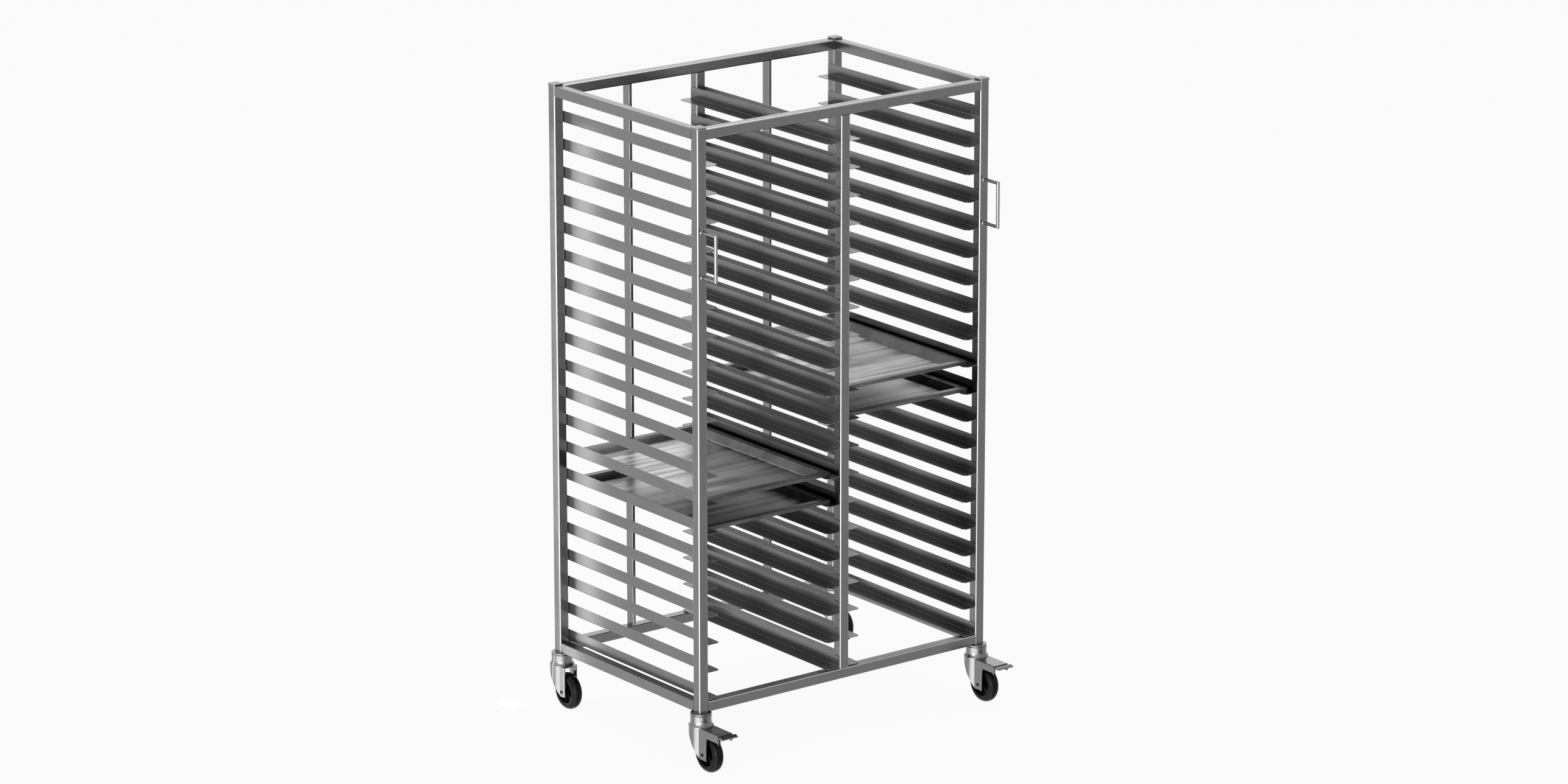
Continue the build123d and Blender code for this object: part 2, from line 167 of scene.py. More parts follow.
EVEN_LEVEL = 0.76
ROOM_LEVEL = 0.35
WHITE = (1, 1, 1, 1)
path = place(tree, "ShaderNodeLightPath")
mirrored = place(tree, "ShaderNodeBackground", {"Color": WHITE})
around = total(EVEN_LEVEL, [
    panel(203.0, 16.0, 50.0, 1.3, height=(0.16, -0.04)),
    panel(52.0, 20.0, 60.0, 0.12, height=(0.05, 0.22)),
    panel(150.0, 20.0, 110.0, 0.33),
    panel(57.0, 6.0, 40.0, 0.5),
])
tree.links.new(around, mirrored.inputs["Strength"])
room = place(tree, "ShaderNodeBackground", {"Color": WHITE, "Strength": ROOM_LEVEL})
backdrop = place(tree, "ShaderNodeBackground", {"Color": WHITE, "Strength": 1.0})
by_gloss = place(tree, "ShaderNodeMixShader")
by_camera = place(tree, "ShaderNodeMixShader")
world_out = place(tree, "ShaderNodeOutputWorld")
tree.links.new(path.outputs["Is Glossy Ray"], by_gloss.inputs[0])
tree.links.new(room.outputs[0], by_gloss.inputs[1])
tree.links.new(mirrored.outputs[0], by_gloss.inputs[2])
tree.links.new(path.outputs["Is Camera Ray"], by_camera.inputs[0])
tree.links.new(by_gloss.outputs[0], by_camera.inputs[1])
tree.links.new(backdrop.outputs[0], by_camera.inputs[2])
tree.links.new(by_camera.outputs[0], world_out.inputs[0])
print("world is white to the camera and painted by direction to gloss")

# %% Floor
FLOOR_RADIUS = 40.0
FLOOR_GLOW = 0.94
floor_shape = bmesh.new()
bmesh.ops.create_circle(floor_shape, cap_ends=True, segments=96, radius=FLOOR_RADIUS)
floor_mesh = bpy.data.meshes.new("floor")
floor_shape.to_mesh(floor_mesh)
floor_shape.free()
floor = bpy.data.objects.new("floor", floor_mesh)
scene.collection.objects.link(floor)
floor.visible_glossy = False

floor_finish = bpy.data.materials.new("floor")
floor_finish.use_nodes = True
tree = floor_finish.node_tree
tree.nodes.clear()
paint = place(tree, "ShaderNodeBsdfDiffuse", {"Color": (0.8, 0.8, 0.8, 1)})
glow = place(tree, "ShaderNodeEmission", {"Color": WHITE, "Strength": 1.0})
choose = place(tree, "ShaderNodeMixShader")
floor_out = place(tree, "ShaderNodeOutputMaterial")
tree.links.new(worked(tree, "MULTIPLY", seen_directly(tree), FLOOR_GLOW), choose.inputs[0])
tree.links.new(paint.outputs[0], choose.inputs[1])
tree.links.new(glow.outputs[0], choose.inputs[2])
tree.links.new(choose.outputs[0], floor_out.inputs[0])
floor_mesh.materials.append(floor_finish)
print("floor radius", FLOOR_RADIUS, "m")


# %% Lamps
def soft_lamp(name, place_at, aim_at, width, height, watts):
    """Rectangular lamp at a place, turned to face a point, that the camera doesn't see."""
    data = bpy.data.lights.new(name, "AREA")
    data.shape = "RECTANGLE"
    data.size = width
    data.size_y = height
    data.energy = watts
    lamp = bpy.data.objects.new(name, data)
    lamp.location = place_at
    lamp.rotation_euler = (Vector(aim_at) - Vector(place_at)).to_track_quat("-Z", "Y").to_euler()
    lamp.visible_camera = False
    scene.collection.objects.link(lamp)


soft_lamp("side_lamp", (-2.7, -1.5, 0.55), (-0.3, -0.2, 0.55), width=2.2, height=1.8, watts=22.0)
soft_lamp("strip_lamp", (-0.62, 0.475, 0.78), (0, 0.475, 0.78), width=0.08, height=1.7, watts=0.9)
soft_lamp("top_lamp", (0.3, 0.3, 4.2), (0, 0, 0.8), width=2.4, height=2.0, watts=42.0)

# %% [markdown]
# ## Shared effects
# Several finishes need the same effects: fine grain along the metal, brighter metal at worn edges,
# painted highlights on the rounded corners of the square tubes, and a thin film of dust on what
# faces up. Each is a node group, built once, so that every material can place it with its own values.


# %% Helper for node groups
def new_group(name, inputs, outputs):
    """Empty shader group with named sockets: each is (name, kind) or (name, kind, value)."""
    group = bpy.data.node_groups.new(name, "ShaderNodeTree")
    for in_out, sockets in (("INPUT", inputs), ("OUTPUT", outputs)):
        for socket in sockets:
            made = group.interface.new_socket(
                socket[0], in_out=in_out, socket_type="NodeSocket" + socket[1]
            )
            if len(socket) > 2:
                made.default_value = socket[2]
    return group, place(group, "NodeGroupInput"), place(group, "NodeGroupOutput")


# %% Grain group
grain_group, into, out = new_group(
    "grain",
    [("Stretched", "Vector"), ("Plain", "Vector"), ("Cloud Scale", "Float", 5.0),
     ("Fineness", "Float", 4.0)],
    [("Streaks", "Float"), ("Clouds", "Float"), ("Marks", "Float")],
)
streaks = place(grain_group, "ShaderNodeTexNoise", {"Scale": 1.0, "Roughness": 0.6})
clouds = place(grain_group, "ShaderNodeTexNoise", {"Detail": 3.0, "Roughness": 0.55})
marks = place(grain_group, "ShaderNodeTexNoise", {"Scale": 34.0, "Detail": 5.0, "Roughness": 0.7})
grain_group.links.new(into.outputs["Stretched"], streaks.inputs["Vector"])
grain_group.links.new(into.outputs["Fineness"], streaks.inputs["Detail"])
grain_group.links.new(into.outputs["Plain"], clouds.inputs["Vector"])
grain_group.links.new(into.outputs["Cloud Scale"], clouds.inputs["Scale"])
grain_group.links.new(into.outputs["Plain"], marks.inputs["Vector"])
grain_group.links.new(spread(grain_group, streaks.outputs["Fac"], 0.3, 0.7), out.inputs["Streaks"])
grain_group.links.new(spread(grain_group, clouds.outputs["Fac"], 0.35, 0.65), out.inputs["Clouds"])
grain_group.links.new(spread(grain_group, marks.outputs["Fac"], 0.56, 0.72), out.inputs["Marks"])
print("group", grain_group.name)

# %% Edge wear group
wear_group, into, out = new_group(
    "edge_wear",
    [("Reach", "Float", 0.001), ("Plain", "Vector")],
    [("Wear", "Float")],
)
rounded = place(wear_group, "ShaderNodeBevel", samples=4)
surface = place(wear_group, "ShaderNodeNewGeometry")
alike = place(wear_group, "ShaderNodeVectorMath", operation="DOT_PRODUCT")
patches = place(wear_group, "ShaderNodeTexNoise", {"Scale": 60.0, "Detail": 3.0})
wear_group.links.new(into.outputs["Reach"], rounded.inputs["Radius"])
wear_group.links.new(into.outputs["Plain"], patches.inputs["Vector"])
wear_group.links.new(rounded.outputs["Normal"], alike.inputs[0])
wear_group.links.new(surface.outputs["Normal"], alike.inputs[1])
edges = spread(wear_group, alike.outputs["Value"], 0.995, 0.88)
uneven = spread(wear_group, patches.outputs["Fac"], 0.3, 0.6, 0.5, 1.0)
wear_group.links.new(worked(wear_group, "MULTIPLY", edges, uneven), out.inputs["Wear"])
print("group", wear_group.name)

# %% Painted corner highlight group
# Painted highlight: the rounded corners between two faces are made lighter, the upright corners and
# the upper ones, so lower corners are left out.
corner_highlight_group, into, out = new_group("painted_corner_highlights", [], [("Corner", "Float")])
facing = place(corner_highlight_group, "ShaderNodeTexCoord").outputs["Normal"]
sizes = {axis: worked(corner_highlight_group, "ABSOLUTE", part_of(corner_highlight_group, facing, axis)) for axis in "XYZ"}
strongest = worked(corner_highlight_group, "MULTIPLY", sizes["X"], sizes["Y"])
for first, second in ("YZ", "XZ"):
    pair = worked(corner_highlight_group, "MULTIPLY", sizes[first], sizes[second])
    strongest = worked(corner_highlight_group, "MAXIMUM", strongest, pair)
turned = spread(corner_highlight_group, strongest, 0.1, 0.36)
upper = spread(corner_highlight_group, part_of(corner_highlight_group, facing, "Z"), -0.3, -0.05)
corner_highlight_group.links.new(worked(corner_highlight_group, "MULTIPLY", turned, upper), out.inputs["Corner"])
print("group", corner_highlight_group.name)

# %% Dust group
dust_group, into, out = new_group(
    "dust",
    [("Plain", "Vector"), ("Amount", "Float", 0.3)],
    [("Dust", "Float")],
)
facing = place(dust_group, "ShaderNodeNewGeometry").outputs["Normal"]
lint = place(dust_group, "ShaderNodeTexNoise", {"Scale": 22.0, "Detail": 6.0, "Roughness": 0.65})
dust_group.links.new(into.outputs["Plain"], lint.inputs["Vector"])
level = spread(dust_group, part_of(dust_group, facing, "Z"), 0.2, 0.95)
patchy = spread(dust_group, lint.outputs["Fac"], 0.35, 0.75)
film = worked(dust_group, "MULTIPLY", worked(dust_group, "MULTIPLY", level, patchy),
              into.outputs["Amount"])
dust_group.links.new(film, out.inputs["Dust"])
print("group", dust_group.name)

# %% [markdown]
# ## Finishes
# Every metal here is the same recipe with other numbers. The grain runs along the piece, so the
# pattern's space is stretched with a Mapping node: large numbers across the grain, a small one along
# it. The streaks change the gloss a little and the height very little, the clouds make the slow
# change from handling and wiping, and the wear makes corners brighter. Some colours are painted
# light and shade that follow the place on the trolley: a painted reflection makes the flat base of a
# tray lighter, its walls darker and its far wall much lighter; painted shade darkens the feet and
# ledges of the runners; painted light brightens the shaded sides that the middle columns hide; and
# a painted highlight brightens the round sides of the casters and the rounded corners of the tubes.


# %% Mixing helpers
def mix_colour(tree, mask, under, over):
    """Colour that goes from one to the other as the mask rises."""
    node = place(tree, "ShaderNodeMix", data_type="RGBA")
    for socket, value in ((node.inputs[6], under), (node.inputs[7], over)):
        if isinstance(value, bpy.types.NodeSocket):
            tree.links.new(value, socket)
        else:
            socket.default_value = (*value, 1)
    tree.links.new(mask, node.inputs[0])
    return node.outputs[2]


def mix_value(tree, mask, low, high):
    """Number that goes from low to high as the mask rises."""
    node = place(tree, "ShaderNodeMix", {2: low, 3: high}, data_type="FLOAT")
    tree.links.new(mask, node.inputs[0])
    return node.outputs[0]


# %% Places that have their own colour
BASE_MIDDLE = (0.24, 0.0384)
BASE_HALF = (0.1708, 0.2618)
BASE_EDGE = 0.003
COLUMN_BACK = 0.015
RUNNER_LEVELS = 20
RUNNER_HEIGHT = 0.033
runners_low, runners_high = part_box("runners_right_outer")
RUNNER_PITCH = (runners_high.z - runners_low.z - RUNNER_HEIGHT) / (RUNNER_LEVELS - 1)


def inside_base(tree, where):
    """1 on the flat base of a tray in either bay, 0 on its walls and rims."""
    inside = []
    across = worked(tree, "ABSOLUTE", part_of(tree, where, "X"))
    for value, middle, half in zip((across, part_of(tree, where, "Y")), BASE_MIDDLE, BASE_HALF):
        away = worked(tree, "ABSOLUTE", worked(tree, "SUBTRACT", value, middle))
        inside.append(spread(tree, away, half + BASE_EDGE, half))
    return worked(tree, "MULTIPLY", *inside)


def far_wall(tree, where):
    """1 on a tray's far wall, which leans up and to the front in the back half, 0 elsewhere."""
    toward = place(tree, "ShaderNodeVectorMath", {1: (0.0, -0.7, 0.7)}, operation="DOT_PRODUCT")
    tree.links.new(place(tree, "ShaderNodeTexCoord").outputs["Normal"], toward.inputs[0])
    leaning = spread(tree, toward.outputs["Value"], 0.86, 0.94)
    return worked(tree, "MULTIPLY", leaning, spread(tree, part_of(tree, where, "Y"), 0.0, 0.1))


def round_sides(tree):
    """1 where an upright surface turns from facing sideways to facing the front, 0 on flats."""
    normal = place(tree, "ShaderNodeTexCoord").outputs["Normal"]
    both = worked(tree, "MULTIPLY", part_of(tree, normal, "X"), part_of(tree, normal, "Y"))
    return spread(tree, worked(tree, "ABSOLUTE", both), 0.2, 0.45)


def between_columns(tree, where):
    """1 on the sides that the two middle columns of runners turn to each other, 0 elsewhere."""
    away = worked(tree, "ABSOLUTE", part_of(tree, where, "X"))
    return spread(tree, away, COLUMN_BACK + 0.0007, COLUMN_BACK + 0.0002)


def runner_foot_shade_mask(tree, where):
    """Mask of the painted shade: 1 on the ledges and the foot of the runners inside the bays, 0
    higher up, outside and at the front ends."""
    above = worked(tree, "SUBTRACT", part_of(tree, where, "Z"), runners_low.z)
    local = worked(tree, "MODULO", above, RUNNER_PITCH)
    side = worked(tree, "ABSOLUTE", part_of(tree, where, "X"))
    inner = spread(tree, side, runners_high.x - 0.0005, runners_high.x - 0.001)
    behind = spread(tree, part_of(tree, where, "Y"), runners_low.y + 0.02, runners_low.y + 0.05)
    foot = spread(tree, local, 0.026, 0.008)
    return worked(tree, "MULTIPLY", foot, worked(tree, "MULTIPLY", inner, behind))


print("runner pitch", round(RUNNER_PITCH * 1000, 2), "mm")


# %% Metal recipe
def metal(name, dull, bright, gloss, grain, grain_height=0.00002, wear_reach=0.0012,
          polished=None, corner=None, cloud_scale=5.0, streak_share=0.45, fineness=4.0,
          walls=None, rounds=None, gap_light=None, foot=None):
    """Metal with grain. gloss is the roughness from its smoothest to its roughest place, grain the
    pattern's scale along X, Y and Z, polished the colour of worn edges, corner the colour of a painted
    highlight on a square tube's rounded corners, and walls the two colours of a tray outside its flat
    base, painted darker as painted reflection and shade, with a third, painted lighter as a painted
    reflection, for its far wall. rounds is the colour of a painted highlight on round upright sides,
    gap_light that of the painted light on the shaded sides between the two middle columns of
    runners, and foot that of the painted shade on the runners' ledges."""
    finish = bpy.data.materials.new(name)
    finish.use_nodes = True
    tree = finish.node_tree
    shader = tree.nodes["Principled BSDF"]
    shader.inputs["Metallic"].default_value = 1.0
    where = place(tree, "ShaderNodeTexCoord").outputs["Object"]
    stretch = place(tree, "ShaderNodeMapping", {"Scale": grain})
    tree.links.new(where, stretch.inputs["Vector"])
    pattern = place(tree, "ShaderNodeGroup", node_tree=grain_group)
    pattern.inputs["Cloud Scale"].default_value = cloud_scale
    pattern.inputs["Fineness"].default_value = fineness
    tree.links.new(stretch.outputs[0], pattern.inputs["Stretched"])
    tree.links.new(where, pattern.inputs["Plain"])
    wear = place(tree, "ShaderNodeGroup", node_tree=wear_group)
    wear.inputs["Reach"].default_value = wear_reach
    tree.links.new(where, wear.inputs["Plain"])

    blend = worked(
        tree, "ADD",
        mix_value(tree, pattern.outputs["Streaks"], 0.0, streak_share),
        mix_value(tree, pattern.outputs["Clouds"], 0.0, 1.0 - streak_share),
    )
    colour = mix_colour(tree, blend, dull, bright)
    # Painted reflection and shade on a tray: its walls are painted darker than its flat base, and its
    # far wall much lighter.
    if walls:
        painted_wall_colour = mix_colour(tree, pattern.outputs["Clouds"], walls[0], walls[1])
        painted_wall_colour = mix_colour(tree, far_wall(tree, where), painted_wall_colour, walls[2])
        colour = mix_colour(tree, inside_base(tree, where), painted_wall_colour, colour)
    # Painted highlight on round upright sides.
    if rounds:
        colour = mix_colour(tree, round_sides(tree), colour, rounds)
    # Painted shade on the runners' feet and ledges.
    if foot:
        colour = mix_colour(tree, runner_foot_shade_mask(tree, where), colour, foot)
    # Painted light on the shaded sides between the middle columns of runners.
    if gap_light:
        colour = mix_colour(tree, between_columns(tree, where), colour, gap_light)
    colour = mix_colour(tree, wear.outputs["Wear"], colour, polished or bright)
    # Painted highlight on the rounded corners of the square tubes.
    if corner:
        corner_highlight = place(tree, "ShaderNodeGroup", node_tree=corner_highlight_group)
        colour = mix_colour(tree, corner_highlight.outputs["Corner"], colour, corner)
    rough = worked(
        tree, "ADD",
        mix_value(tree, blend, gloss[0], gloss[1]),
        mix_value(tree, pattern.outputs["Marks"], 0.0, 0.03),
    )
    if gap_light:
        gap_rough = mix_value(tree, between_columns(tree, where), 0.0, 0.4)
        rough = worked(tree, "ADD", rough, gap_rough)
    tree.links.new(colour, shader.inputs["Base Color"])
    tree.links.new(rough, shader.inputs["Roughness"])
    bump = place(tree, "ShaderNodeBump", {"Strength": 0.5, "Distance": grain_height})
    tree.links.new(pattern.outputs["Streaks"], bump.inputs["Height"])
    tree.links.new(bump.outputs[0], shader.inputs["Normal"])
    return finish


# %% Steel, tray and caster finishes
def grey(level):
    """Colour without a tint."""
    return (level, level, level)


ALONG = 14.0
ACROSS = 1300.0
GRAIN = {
    "x": (ALONG, ACROSS, ACROSS),
    "y": (ACROSS, ALONG, ACROSS),
    "z": (ACROSS, ACROSS, ALONG),
}
# Colours of the painted highlight on the rounded corners of the tubes that run along X and Z.
CORNER_HIGHLIGHT = {"x": grey(0.46), "y": None, "z": grey(0.42)}
frame_steel = {
    way: metal(f"frame_steel_{way}", (0.18, 0.18, 0.182), grey(0.215), (0.2, 0.32),
               GRAIN[way], polished=grey(0.5), corner=CORNER_HIGHLIGHT[way])
    for way in GRAIN
}
# The runners get painted shade on their feet and ledges, and painted light on the sides between the
# middle columns.
runner_steel = metal("runner_steel", grey(0.172), grey(0.2), (0.2, 0.26),
                     GRAIN["y"], grain_height=0.000006, polished=grey(0.24), wear_reach=0.0005,
                     gap_light=grey(0.42), foot=grey(0.12))
handle_steel = metal("handle_steel", grey(0.26), grey(0.34), (0.18, 0.28),
                     (600.0, 600.0, 25.0), wear_reach=0.0005)
# The tray's walls are painted darker and its far wall lighter than its base, as painted reflection.
tray_metal = metal("tray_metal", grey(0.11), grey(0.6), (0.26, 0.4),
                   (2.4, 34.0, 24.0), polished=grey(0.4), wear_reach=0.0006,
                   cloud_scale=9.0, streak_share=0.85, fineness=0.7,
                   walls=(grey(0.09), grey(0.14), grey(0.85)))
# The caster's round upright sides are painted lighter, a painted highlight.
caster_zinc = metal("caster_zinc", grey(0.19), grey(0.215), (0.2, 0.27),
                    (150.0, 150.0, 90.0), polished=grey(0.3), wear_reach=0.0004,
                    cloud_scale=14.0, rounds=grey(0.32))
weld_steel = metal("weld_steel", grey(0.1), grey(0.16), (0.36, 0.52),
                   (300.0, 300.0, 300.0), wear_reach=0.0004)
bolt_dark = metal("bolt_dark", grey(0.03), grey(0.06), (0.35, 0.5),
                  (400.0, 400.0, 400.0), polished=grey(0.2), wear_reach=0.0004)
print("metals made:", len(frame_steel) + 7)


# %% [markdown]
# ## Black rubber and plastic
# The tyres are smooth black rubber that still shines, and the hubs are moulded plastic, a little
# duller. Both aren't metal, so their gloss comes from the shader's clear reflection, and fine noise
# in colour, gloss and height keeps them from looking like paint.


# %% Black materials
def black(name, dark, light, gloss, pebble, dusty):
    """Black rubber or plastic with a fine moulded surface and some dust on top. pebble is the
    scale of the surface's pattern and dusty how much dust lies on it."""
    finish = bpy.data.materials.new(name)
    finish.use_nodes = True
    tree = finish.node_tree
    shader = tree.nodes["Principled BSDF"]
    shader.inputs["Specular IOR Level"].default_value = 0.15
    where = place(tree, "ShaderNodeTexCoord").outputs["Object"]
    pattern = place(tree, "ShaderNodeGroup", node_tree=grain_group)
    stretch = place(tree, "ShaderNodeMapping", {"Scale": (pebble, pebble, pebble)})
    tree.links.new(where, stretch.inputs["Vector"])
    tree.links.new(stretch.outputs[0], pattern.inputs["Stretched"])
    tree.links.new(where, pattern.inputs["Plain"])
    pattern.inputs["Cloud Scale"].default_value = 40.0
    dust = place(tree, "ShaderNodeGroup", node_tree=dust_group)
    dust.inputs["Amount"].default_value = dusty
    tree.links.new(where, dust.inputs["Plain"])
    colour = mix_colour(tree, pattern.outputs["Clouds"], dark, light)
    colour = mix_colour(tree, dust.outputs["Dust"], colour, (0.16, 0.155, 0.15))
    rough = worked(
        tree, "ADD",
        mix_value(tree, pattern.outputs["Clouds"], gloss[0], gloss[1]),
        mix_value(tree, dust.outputs["Dust"], 0.0, 0.3),
    )
    tree.links.new(colour, shader.inputs["Base Color"])
    tree.links.new(rough, shader.inputs["Roughness"])
    bump = place(tree, "ShaderNodeBump", {"Strength": 0.3, "Distance": 0.00005})
    tree.links.new(pattern.outputs["Streaks"], bump.inputs["Height"])
    tree.links.new(bump.outputs[0], shader.inputs["Normal"])
    return finish


tyre_black = black("tyre_black", grey(0.003), grey(0.006), (0.14, 0.22), pebble=900.0, dusty=0.04)
hub_black = black("hub_black", grey(0.003), grey(0.006), (0.3, 0.42), pebble=700.0, dusty=0.04)
print("black finishes made: 2")

# %% [markdown]
# ## Dress the CAD pieces
# Each CAD piece has one material slot. Its finish is chosen by its name, and for the frame tubes also
# by the way the tube runs, so that the grain follows it.

# %% Finishes onto pieces
FINISH_BY_NAME = [
    ("post_", frame_steel["z"]), ("back_stop_", frame_steel["z"]), ("cap_", frame_steel["x"]),
    ("rail_bottom_front", frame_steel["x"]), ("rail_bottom_back", frame_steel["x"]),
    ("rail_top_front", frame_steel["x"]), ("rail_top_back", frame_steel["x"]),
    ("rail_", frame_steel["y"]), ("runners_", runner_steel), ("tray_", tray_metal),
    ("handle_", handle_steel), ("axle_", bolt_dark), ("wheel_hub_", hub_black),
    ("tyre_", tyre_black), ("caster_", caster_zinc), ("brake_", caster_zinc),
]
for name, piece in nodes.items():
    finish = next(f for start, f in FINISH_BY_NAME if name.startswith(start))
    for index in range(len(piece.data.materials)):
        piece.data.materials[index] = finish
print("dressed", len(nodes), "pieces")

# %% [markdown]
# ## Helpers for new pieces
# The pieces below are small things that a workshop adds: welds, washers, nuts and ribs. Most of them
# are round, so one helper turns a short profile round an axis, as a lathe does. Its rings can also be
# pushed out to a hexagon, which is how a nut or a key socket comes from the same turned shape. The
# second helper gives a finished shape its finish and its body.

# %% Lathe and piece helpers
MILLI = 0.001
LATHE_STEPS = 24


def hexagon_reach(angle, flat):
    """Distance from the centre to a hexagon's edge, where flat is the distance to its flats."""
    sixth = math.radians(60.0)
    return flat / math.cos((angle % sixth) - sixth / 2)


def joined_to(start):
    """All vertices that edges join to the given ones."""
    found, search = set(start), list(start)
    while search:
        vertex = search.pop()
        for link in vertex.link_edges:
            other = link.other_vert(vertex)
            if other not in found:
                found.add(other)
                search.append(other)
    return found


def lathe(shape, profile, centre, steps=LATHE_STEPS):
    """Turns (x, radius, kind) points round the X axis, in millimetres, and moves them to a centre.
    kind is round, or hex where the ring is pushed out to a hexagon with flats at the radius."""
    points = [shape.verts.new((x * MILLI, 0.0, r * MILLI)) for x, r, kind in profile]
    edges = [shape.edges.new(pair) for pair in zip(points, points[1:])]
    bmesh.ops.spin(
        shape, geom=points + edges, cent=(0, 0, 0), axis=(1, 0, 0), angle=math.tau, steps=steps,
        use_merge=True, use_duplicate=False,
    )
    turned = joined_to(points)
    for vertex in turned:
        radius = math.hypot(vertex.co.y, vertex.co.z)
        nearest = min(
            profile, key=lambda p: math.hypot(p[0] * MILLI - vertex.co.x, p[1] * MILLI - radius)
        )
        if nearest[2] == "hex":
            grow = hexagon_reach(math.atan2(vertex.co.z, vertex.co.y), nearest[1] * MILLI) / radius
            vertex.co.y *= grow
            vertex.co.z *= grow
    bmesh.ops.translate(shape, verts=list(turned), vec=centre)
    return list(turned)


def piece_from(name, shape, finish, body, stands_for=()):
    """Object from a shape, with smooth faces between its sharp edges, that rides on a body."""
    bmesh.ops.remove_doubles(shape, verts=shape.verts[:], dist=0.00001)
    bmesh.ops.recalc_face_normals(shape, faces=shape.faces[:])
    mesh = bpy.data.meshes.new(name)
    shape.to_mesh(mesh)
    shape.free()
    mesh.materials.append(finish)
    mesh.shade_smooth()
    mesh.set_sharp_from_angle(angle=math.radians(34))
    piece = bpy.data.objects.new(name, mesh)
    scene.collection.objects.link(piece)
    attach(piece, body)
    if stands_for:
        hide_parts(*stands_for)
    print(name, "has", len(mesh.polygons), "faces")
    return piece


CORNERS = ("front_left", "front_right", "back_left", "back_right")

# %% [markdown]
# ## Axle bolts
# Each wheel turns on a dark bolt that goes through both cheeks of its fork. On the left there is a
# low domed head with a socket for a hexagonal key, on the right a washer, a nut with chamfered
# corners and two turns of thread. All of it is one turned profile, so it is made with the lathe
# helper: the rings of the socket and of the nut's flats are pushed out to a hexagon.

# %% Axle bolts
for corner in CORNERS:
    low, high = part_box(f"axle_{corner}")
    middle = (low + high) / 2
    head_end, nut_end = low.x / MILLI, high.x / MILLI
    head_seat, nut_seat = head_end + 2.4, nut_end - 4.0
    profile = [
        (head_end + 1.5, 0.0, "round"), (head_end + 1.3, 2.0, "hex"), (head_end, 2.1, "hex"),
        (head_end, 3.2, "round"), (head_end + 0.3, 4.2, "round"), (head_end + 1.0, 4.8, "round"),
        (head_end + 1.7, 5.0, "round"), (head_seat, 5.0, "round"), (head_seat, 4.0, "round"),
        (nut_seat, 4.0, "round"), (nut_seat, 7.6, "round"), (nut_seat + 0.2, 7.8, "round"),
        (nut_seat + 1.0, 7.8, "round"), (nut_seat + 1.1, 7.6, "round"),
        (nut_seat + 1.1, 6.0, "round"), (nut_seat + 1.5, 6.1, "hex"), (nut_end - 0.7, 6.1, "hex"),
        (nut_end - 0.1, 5.9, "round"), (nut_end, 5.4, "round"), (nut_end, 3.6, "round"),
        (nut_end + 0.3, 4.0, "round"), (nut_end + 0.7, 3.5, "round"), (nut_end + 1.1, 4.0, "round"),
        (nut_end + 1.5, 3.5, "round"), (nut_end + 1.8, 3.2, "round"), (nut_end + 1.9, 0.0, "round"),
    ]
    bolt = bmesh.new()
    lathe(bolt, profile, (0.0, middle.y, middle.z))
    piece_from(f"axle_bolt_{corner}", bolt, bolt_dark, f"fork_{corner}",
               [f"axle_{corner}"])

# %% [markdown]
# ## Ribs in the wheels
# A moulded hub isn't a plain disc: thin ribs join the boss to the rim, on both sides of the web, and
# make it stiff. One rib is a box that is scaled, bevelled and moved out from the axle. It is then
# copied round the axle with rotations.

# %% Hub ribs
RIB_COUNT = 6
RIB_SIZE = (0.021, 0.0024, 0.0285)
RIB_FROM_AXLE = 0.02
RIB_EDGE = 0.0006
for corner in CORNERS:
    low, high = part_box(f"wheel_hub_{corner}")
    axle = (low + high) / 2
    ribs = bmesh.new()
    for count in range(RIB_COUNT):
        made = bmesh.ops.create_cube(ribs, size=1.0)["verts"]
        bmesh.ops.scale(ribs, verts=made, vec=RIB_SIZE)
        bmesh.ops.translate(ribs, verts=made, vec=(0.0, 0.0, RIB_FROM_AXLE))
        edges = list({e for v in made for e in v.link_edges})
        rounded = bmesh.ops.bevel(
            ribs, geom=edges, offset=RIB_EDGE, segments=2, profile=0.5, affect="EDGES", material=-1
        )
        whole = list({v for f in rounded["faces"] for v in f.verts})
        turn = Matrix.Rotation(math.tau * count / RIB_COUNT, 4, "X")
        bmesh.ops.rotate(ribs, cent=(0, 0, 0), matrix=turn, verts=whole)
    bmesh.ops.translate(ribs, verts=ribs.verts[:], vec=axle)
    piece_from(f"hub_ribs_{corner}", ribs, hub_black, f"wheel_{corner}")

# %% [markdown]
# ## Post caps
# A thin square plate closes the top of each corner post. The CAD plate has sharp edges, and sharp
# edges catch no light, so the plate is made again from a cube that is scaled to the same size: first
# its four upright edges are bevelled, then the edges round its top and its underside.

# %% Post caps
CAP_CORNER = 0.002
CAP_EDGE = 0.0007
for corner in CORNERS:
    low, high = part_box(f"cap_{corner}")
    post_low, post_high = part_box(f"post_{corner}")
    low = Vector((low.x, low.y, post_high.z))
    cap = bmesh.new()
    bmesh.ops.create_cube(cap, size=1.0)
    bmesh.ops.scale(cap, verts=cap.verts[:], vec=high - low)
    bmesh.ops.translate(cap, verts=cap.verts[:], vec=(low + high) / 2)
    upright = [e for e in cap.edges if abs(e.verts[0].co.z - e.verts[1].co.z) > 0.002]
    bmesh.ops.bevel(cap, geom=upright, offset=CAP_CORNER, segments=4, profile=0.5, affect="EDGES",
                    material=-1)
    level = [e for e in cap.edges if abs(e.verts[0].co.z - e.verts[1].co.z) < 0.0001]
    bmesh.ops.bevel(cap, geom=level, offset=CAP_EDGE, segments=2, profile=0.5, affect="EDGES",
                    material=-1)
    piece_from(f"post_cap_{corner}", cap, frame_steel["x"], "frame",
               [f"cap_{corner}"])

# %% [markdown]
# ## Welds
# The tubes are joined with weld beads that are ground almost flush. A bead is a row of small
# overlapping ripples. Here it is a circle that is drawn out along a line in many short steps, and
# every step swells and shrinks a little. The beads lie in the grooves where a tube's end meets
# another tube's rounded corner, so most of each one is inside the metal.

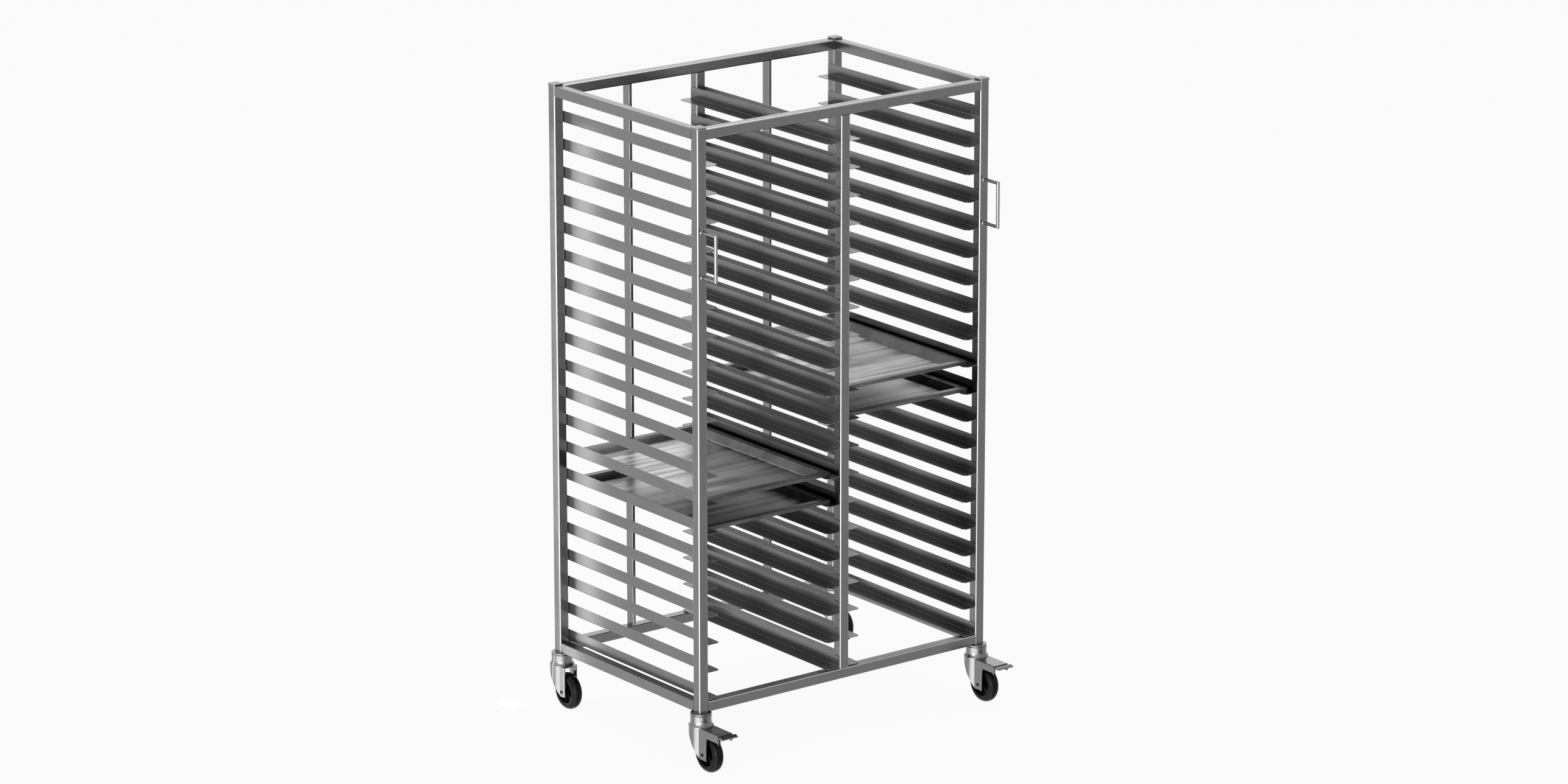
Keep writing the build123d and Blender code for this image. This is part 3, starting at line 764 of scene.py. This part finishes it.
# %% Weld bead helper
def bead(shape, start, end, radius, sides=8, step=0.0016):
    """Rippled bar from start to end, tapered at both ends."""
    start, end = Vector(start), Vector(end)
    way = end - start
    count = max(4, round(way.length / step))
    ring = bmesh.ops.create_circle(shape, cap_ends=True, radius=radius, segments=sides)["verts"]
    edges = list({e for v in ring for e in v.link_edges})
    drawn = bmesh.ops.spin(
        shape, geom=edges, cent=(0, 0, 0), axis=(0, 0, 1), dvec=(0, 0, way.length / count),
        angle=0.0, steps=count, use_merge=False, use_duplicate=False,
    )
    last = [g for g in drawn["geom_last"] if isinstance(g, bmesh.types.BMEdge)]
    bmesh.ops.contextual_create(shape, geom=last)
    whole = joined_to(ring)
    for vertex in whole:
        place_along = round(vertex.co.z / (way.length / count))
        swell = 1.06 if place_along % 2 else 0.9
        if place_along in (0, count):
            swell = 0.55
        vertex.co.x *= swell
        vertex.co.y *= swell
    turn = Vector((0, 0, 1)).rotation_difference(way).to_matrix().to_4x4()
    bmesh.ops.transform(shape, matrix=Matrix.Translation(start) @ turn, verts=list(whole))


# %% Frame welds
CORNER_RADIUS = 0.004
BEAD_RADIUS = 0.0022
SINK = 0.0029
PAST_END = 0.0012
welds = bmesh.new()
bead_count = 0
for level in ("bottom", "top"):
    for row in ("front", "back"):
        low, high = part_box(f"rail_{level}_{row}")
        for x, away in ((low.x, -1.0), (high.x, 1.0)):
            for y, inward in ((low.y, 1.0), (high.y, -1.0)):
                at = (x + away * PAST_END, y + inward * SINK)
                bead(welds, (*at, low.z + CORNER_RADIUS), (*at, high.z - CORNER_RADIUS), BEAD_RADIUS)
                bead_count += 1
    for column in ("left", "right"):
        low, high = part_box(f"rail_{level}_{column}")
        for y, away in ((low.y, -1.0), (high.y, 1.0)):
            for x, inward in ((low.x, 1.0), (high.x, -1.0)):
                at = (x + inward * SINK, y + away * PAST_END)
                bead(welds, (*at, low.z + CORNER_RADIUS), (*at, high.z - CORNER_RADIUS), BEAD_RADIUS)
                bead_count += 1
for row in ("front", "back"):
    low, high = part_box(f"post_{row}_centre")
    for z, away in ((low.z, -1.0), (high.z, 1.0)):
        for y, inward in ((low.y, 1.0), (high.y, -1.0)):
            at = (y + inward * SINK, z + away * PAST_END)
            bead(welds, (low.x + CORNER_RADIUS, *at), (high.x - CORNER_RADIUS, *at), BEAD_RADIUS)
            bead_count += 1
piece_from("frame_welds", welds, weld_steel, "frame")
print(bead_count, "beads on the frame")

# %% Runner welds
TACK = 0.012
TACK_RADIUS = 0.0012
TACK_FROM_FACE = 0.0006
TACK_FROM_END = 0.007
tacks = bmesh.new()
sides_of_bays = {
    "left_outer": ("post_front_left", 1.0), "left_inner": ("post_front_centre", -1.0),
    "right_inner": ("post_front_centre", 1.0), "right_outer": ("post_front_right", -1.0),
}
for side, (post, inward) in sides_of_bays.items():
    low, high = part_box(f"runners_{side}")
    post_low, post_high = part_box(post)
    face = post_high.x if inward > 0 else post_low.x
    for level in range(RUNNER_LEVELS):
        top = low.z + level * RUNNER_PITCH + RUNNER_HEIGHT
        for start in (low.y + TACK_FROM_END, high.y - TACK_FROM_END - TACK):
            x = face + inward * TACK_FROM_FACE
            bead(tacks, (x, start, top), (x, start + TACK, top), TACK_RADIUS, sides=6, step=0.003)
piece_from("runner_welds", tacks, weld_steel, "frame")

# %% [markdown]
# ## Rings where the handles meet the posts
# A round bar that is welded to a flat face gets a small sloping ring of weld round its foot. It is a
# turned profile too, so the lathe helper makes it, and a quarter turn points it along the bar.

# %% Handle weld rings
for side in ("left", "right"):
    low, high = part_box(f"handle_{side}")
    post_low, post_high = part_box(f"post_front_{side}")
    bar = high.x - low.x
    rings = bmesh.new()
    for z in (low.z + bar / 2, high.z - bar / 2):
        ring = lathe(
            rings,
            [(0.0, 4.0, "round"), (0.0, 7.0, "round"), (0.5, 6.6, "round"), (1.2, 5.7, "round"),
             (2.1, 5.2, "round"), (2.4, 4.8, "round")],
            (0.0, 0.0, 0.0), 32,
        )
        bmesh.ops.rotate(rings, cent=(0, 0, 0), matrix=Matrix.Rotation(math.radians(-90), 4, "Z"),
                         verts=ring)
        bmesh.ops.translate(rings, verts=ring, vec=((low.x + high.x) / 2, post_low.y, z))
    piece_from(f"handle_rings_{side}", rings, handle_steel, "frame")

# %% [markdown]
# ## Finish
# The picture's colours are shown with the Standard view transform. The dressing may not make the
# trolley any larger than it is.

# %% Finish
scene.view_settings.view_transform = "Standard"
